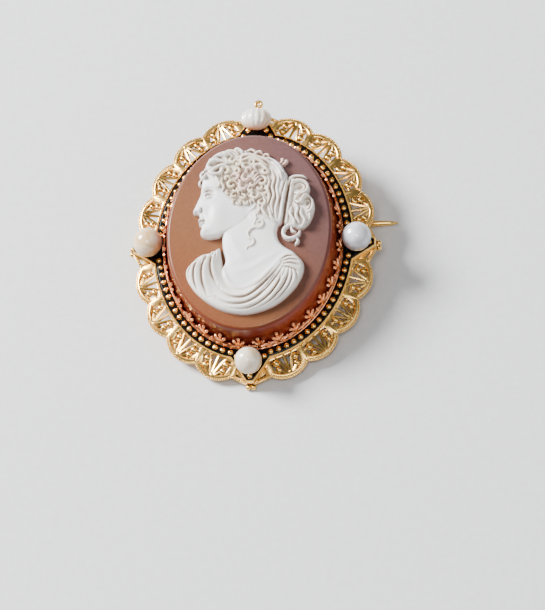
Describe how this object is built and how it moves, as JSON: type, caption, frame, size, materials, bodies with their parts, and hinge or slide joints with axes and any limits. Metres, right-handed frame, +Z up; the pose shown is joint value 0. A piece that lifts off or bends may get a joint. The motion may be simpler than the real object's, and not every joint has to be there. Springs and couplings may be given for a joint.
{
  "type": "cameo brooch",
  "caption": "Oval agate cameo brooch with a carved bust in a claw collet, black enamel band with gold grains and four pearls, pierced scalloped gold border and a hinged pin",
  "frame": {"origin": "centre of the footprint, on the surface the brooch lies on", "axes": "+Y towards the head of the bust and the eye at the top, +X towards the tip of the pin, +Z up, out of the carved face"},
  "size_m": [0.0428, 0.0488, 0.0156],
  "materials": {
    "agate_brown": "polished, translucent at the edge",
    "agate_white": "carved, soft satin",
    "gold_rose": "polished 18 carat gold, rosy",
    "gold_bright": "polished 18 carat gold, pale yellow",
    "enamel_black": "glossy black enamel",
    "pearl_cream": "pearl lustre, cream",
    "pearl_grey": "pearl lustre, silver grey",
    "pearl_white": "pearl lustre, white"
  },
  "bodies": {
    "brooch": {"cameo_ground": "agate_brown", "cameo_relief": "agate_white", "claw_collar": "gold_rose", "band_plate": "gold_bright", "enamel_band": "enamel_black", "border": "gold_bright", "pearl_top": "pearl_white", "pearl_right": "pearl_grey", "pearl_bottom": "pearl_white", "pearl_left": "pearl_cream", "back_frame": "gold_bright", "hinge_rivet": "gold_bright"},
    "pin": {"pin_stem": "gold_bright"}
  },
  "joints": [
    {"name": "pin_hinge", "type": "hinge", "parent": "brooch", "child": "pin", "pos_m": [-0.01551, 0.00525, 0.00148], "axis": [0, 0.9863, 0.1651], "range_deg": [0, 75]}
  ]
}
